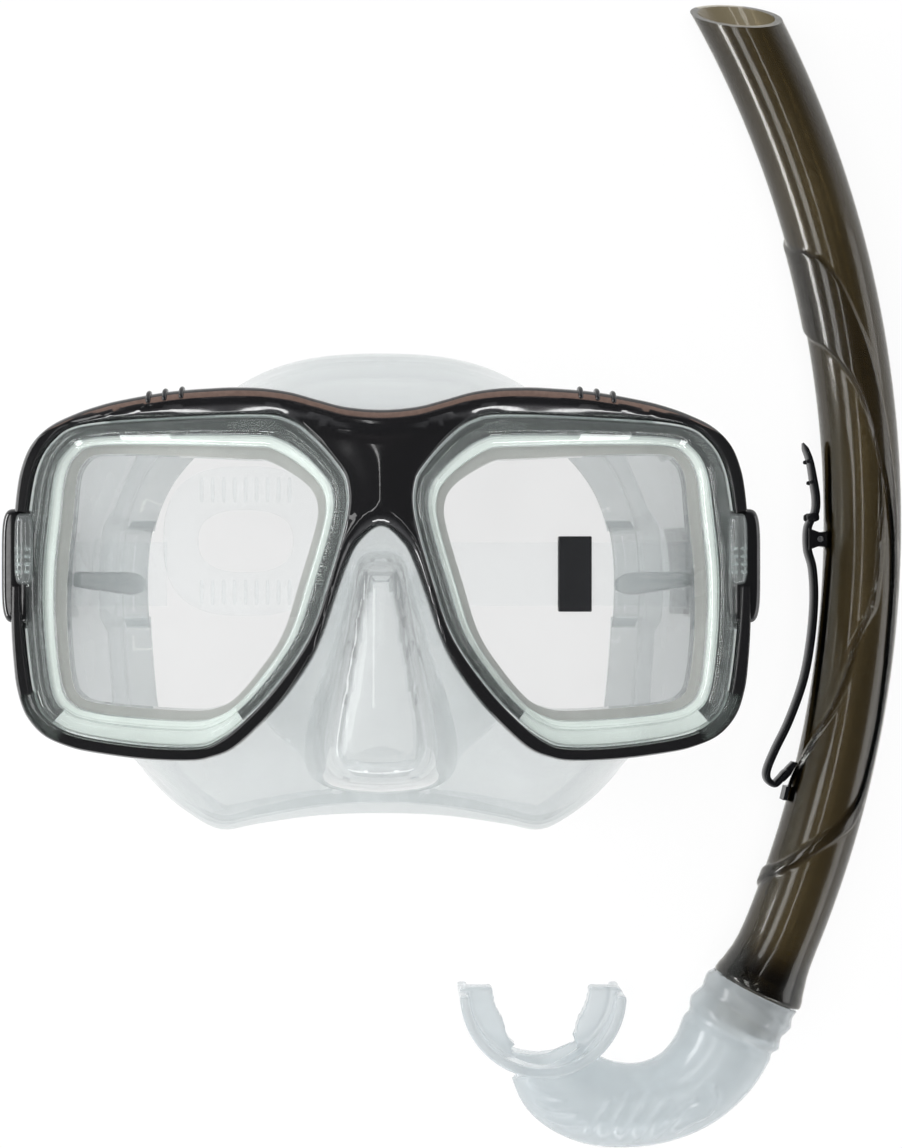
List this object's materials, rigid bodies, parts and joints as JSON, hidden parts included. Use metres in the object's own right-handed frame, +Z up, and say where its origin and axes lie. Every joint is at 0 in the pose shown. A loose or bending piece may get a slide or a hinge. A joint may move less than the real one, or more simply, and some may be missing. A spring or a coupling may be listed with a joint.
{
  "type": "snorkel mask",
  "caption": "Twin-lens dive mask with clear skirt, strap and swivel buckles, laid beside a curved smoke-tinted snorkel with a silicone bite and a strap clip.",
  "frame": {"origin": "centre of the whole set's box on the surface that it lies on", "axes": "+Z up out through the lenses, +Y towards the forehead and along the snorkel, +X towards the snorkel"},
  "size_m": [0.2332, 0.3098, 0.078],
  "materials": {
    "black_gloss": "glossy black moulded plastic",
    "clear_rim": "clear polycarbonate with a faint green-grey tint",
    "lens_glass": "polished clear tempered glass",
    "clear_silicone": "translucent clear silicone, satin",
    "strap_silicone": "translucent silicone, satin",
    "black_satin": "satin black moulded plastic",
    "smoke_tube": "smoke-tinted translucent plastic, glossy",
    "milky_silicone": "milky translucent silicone, satin",
    "steel_pin": "stainless steel wire"
  },
  "bodies": {
    "mask": {"frame": "black_gloss", "skirt": "clear_silicone", "strap": "strap_silicone", "lens_left": "lens_glass", "lens_right": "lens_glass", "rim_left": "clear_rim", "rim_right": "clear_rim", "buckle_pin_left": "steel_pin", "buckle_pin_right": "steel_pin"},
    "strap_keeper": {"strap_keeper": "black_satin"},
    "latch_left": {"latch_left": "clear_rim"},
    "buckle_left": {"buckle_body_left": "black_satin", "lever_pin_left": "steel_pin"},
    "roller_left": {"strap_roller_left": "black_satin"},
    "lever_left": {"release_lever_left": "black_satin"},
    "latch_right": {"latch_right": "clear_rim"},
    "buckle_right": {"buckle_body_right": "black_satin", "lever_pin_right": "steel_pin"},
    "roller_right": {"strap_roller_right": "black_satin"},
    "lever_right": {"release_lever_right": "black_satin"},
    "snorkel": {"snorkel_tube": "smoke_tube", "keeper_pin": "steel_pin", "keeper_peg": "black_gloss"},
    "mouthpiece": {"mouthpiece": "milky_silicone"},
    "clip": {"keeper_clip": "black_gloss"}
  },
  "joints": [
    {"name": "latch_open_left", "type": "hinge", "parent": "mask", "child": "latch_left", "pos_m": [-0.11227, 0.00471, 0.06588], "axis": [0, -1, 0], "range_deg": [0, 40]},
    {"name": "buckle_swing_left", "type": "hinge", "parent": "mask", "child": "buckle_left", "pos_m": [-0.11077, -0.00139, 0.0475], "axis": [0, 1, 0], "range_deg": [-8, 45], "deforming": ["strap"]},
    {"name": "roller_spin_left", "type": "hinge", "parent": "buckle_left", "child": "roller_left", "pos_m": [-0.11077, -0.00139, 0.034], "axis": [0, 1, 0], "continuous": true},
    {"name": "lever_lift_left", "type": "hinge", "parent": "buckle_left", "child": "lever_left", "pos_m": [-0.11347, -0.00139, 0.0425], "axis": [0, 1, 0], "range_deg": [0, 35], "stiffness_Nm_per_rad": 0.004},
    {"name": "latch_open_right", "type": "hinge", "parent": "mask", "child": "latch_right", "pos_m": [0.06573, 0.00471, 0.06588], "axis": [0, 1, 0], "range_deg": [0, 40]},
    {"name": "buckle_swing_right", "type": "hinge", "parent": "mask", "child": "buckle_right", "pos_m": [0.06423, -0.00139, 0.0475], "axis": [0, -1, 0], "range_deg": [-8, 45], "deforming": ["strap"]},
    {"name": "roller_spin_right", "type": "hinge", "parent": "buckle_right", "child": "roller_right", "pos_m": [0.06423, -0.00139, 0.034], "axis": [0, 1, 0], "continuous": true},
    {"name": "lever_lift_right", "type": "hinge", "parent": "buckle_right", "child": "lever_right", "pos_m": [0.06693, -0.00139, 0.0425], "axis": [0, -1, 0], "range_deg": [0, 35], "stiffness_Nm_per_rad": 0.004},
    {"name": "keeper_slide", "type": "slide", "parent": "mask", "child": "strap_keeper", "axis": [1, 0, 0], "range_m": [-0.015, 0.006]},
    {"name": "snorkel_lift", "type": "slide", "parent": "mask", "child": "snorkel", "axis": [0, 0, 1], "range_m": [0, 0.12]},
    {"name": "mouthpiece_twist", "type": "hinge", "parent": "snorkel", "child": "mouthpiece", "pos_m": [0.07754, -0.11313, 0.0135], "axis": [0.4321, 0.9018, -0.0109], "range_deg": [0, 90]},
    {"name": "clip_open", "type": "hinge", "parent": "snorkel", "child": "clip", "pos_m": [0.09413, 0.0079, 0.01204], "axis": [0, -0.012, -0.9999], "range_deg": [0, 6], "stiffness_Nm_per_rad": 0.02}
  ]
}
